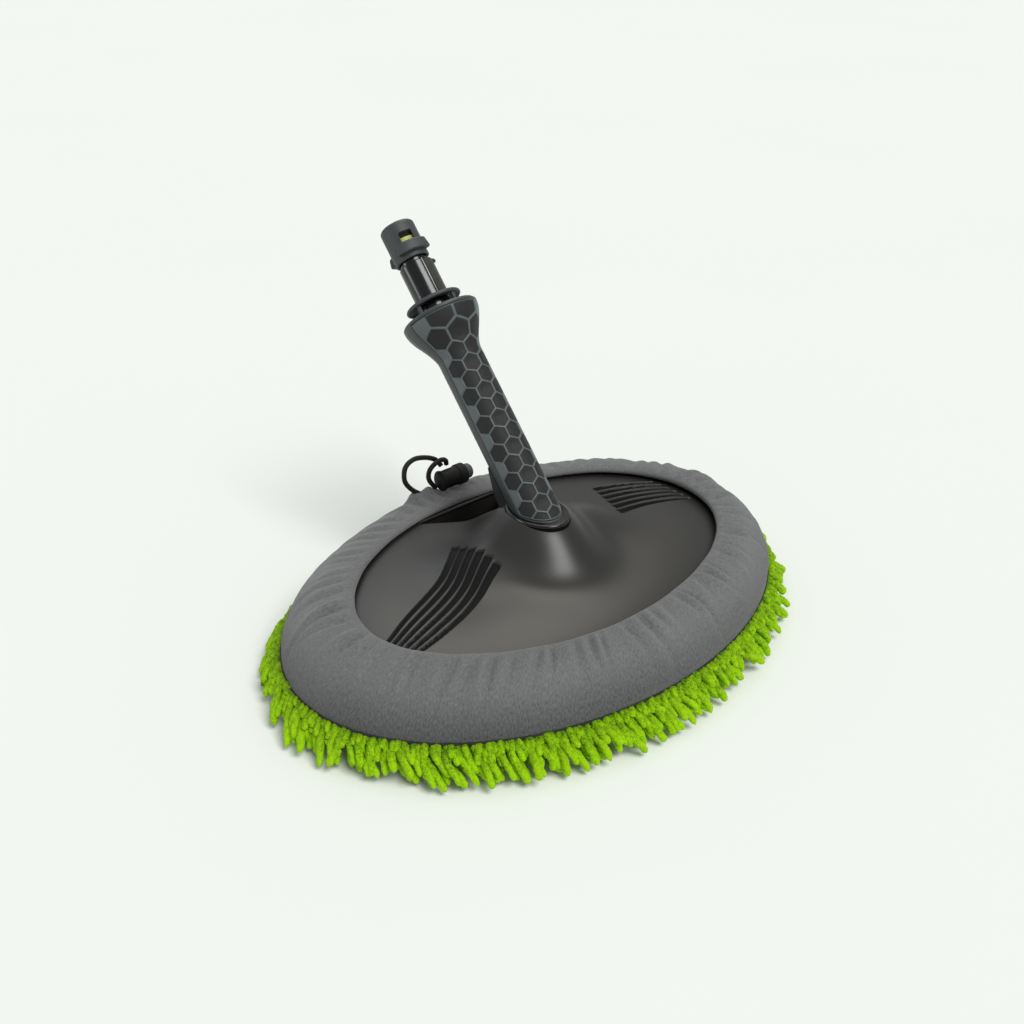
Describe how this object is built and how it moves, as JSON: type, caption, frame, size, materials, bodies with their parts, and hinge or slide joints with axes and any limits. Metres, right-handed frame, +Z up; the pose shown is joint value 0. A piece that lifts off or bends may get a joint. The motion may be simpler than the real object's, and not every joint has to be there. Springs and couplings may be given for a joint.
{
  "type": "wash mitt",
  "caption": "Oval car-wash mitt for a pressure-washer gun: leaning handle with a bayonet inlet on a backing plate, in a stretch cover with a chenille pile and drawstring lock.",
  "frame": {"origin": "middle of the oval, on the surface that the pile rests on", "axes": "+Z up, X along the oval's long axis, the handle leans towards +Y"},
  "size_m": [0.352, 0.2659, 0.2245],
  "materials": {
    "sleeve_plastic": "moulded, lightly textured, matte dark grey",
    "insert_plastic": "smooth pale yellow-green",
    "seal_rubber": "smooth black rubber",
    "barrel_gloss": "glossy black",
    "rail_plastic": "satin olive grey",
    "shell_plastic": "satin blue-grey",
    "grip_rubber": "soft dark cells between raised grey hexagon ridges",
    "neck_plastic": "satin blue-black",
    "plate_plastic": "satin dark warm grey",
    "tube_plastic": "smooth natural plastic",
    "screw_steel": "zinc-plated",
    "foam": "black open-cell foam",
    "cover_knit": "grey brushed stretch knit",
    "chenille": "lime green chenille microfibre",
    "drawstring": "black braided cord",
    "lock_plastic": "matte black",
    "button_plastic": "matte grey"
  },
  "bodies": {
    "mitt": {"inlet_sleeve": "sleeve_plastic", "inlet_insert": "insert_plastic", "inlet_o_ring": "seal_rubber", "inlet_barrel": "barrel_gloss", "latch_rail": "rail_plastic", "guard_collar": "sleeve_plastic", "inlet_retainer": "barrel_gloss", "barrel_seal": "seal_rubber", "handle_front_shell": "shell_plastic", "handle_rear_shell": "shell_plastic", "front_grip": "grip_rubber", "rear_grip": "grip_rubber", "handle_screw_1": "screw_steel", "handle_screw_2": "screw_steel", "handle_screw_3": "screw_steel", "water_tube": "tube_plastic", "socket_trim": "barrel_gloss", "neck_socket": "neck_plastic", "backing_plate": "plate_plastic", "water_elbow": "tube_plastic", "spray_manifold": "plate_plastic", "manifold_seal": "seal_rubber", "manifold_screw_1": "screw_steel", "manifold_screw_2": "screw_steel", "manifold_screw_3": "screw_steel", "manifold_screw_4": "screw_steel", "foam_pad": "foam", "cover_band": "cover_knit", "hem_casing": "cover_knit", "pad_backing": "cover_knit", "chenille_pile": "chenille", "drawstring_outer": "drawstring", "drawstring_inner": "drawstring", "cord_lock_body": "lock_plastic", "cord_lock_spring": "screw_steel"},
    "lock_button": {"cord_lock_button": "button_plastic"}
  },
  "joints": [
    {"name": "lock_button_press", "type": "slide", "parent": "mitt", "child": "lock_button", "axis": [-1, 0, 0], "range_m": [0, 0.0035], "stiffness_N_per_m": 1500, "springref_m": -0.0015, "deforming": ["cord_lock_spring"]}
  ]
}
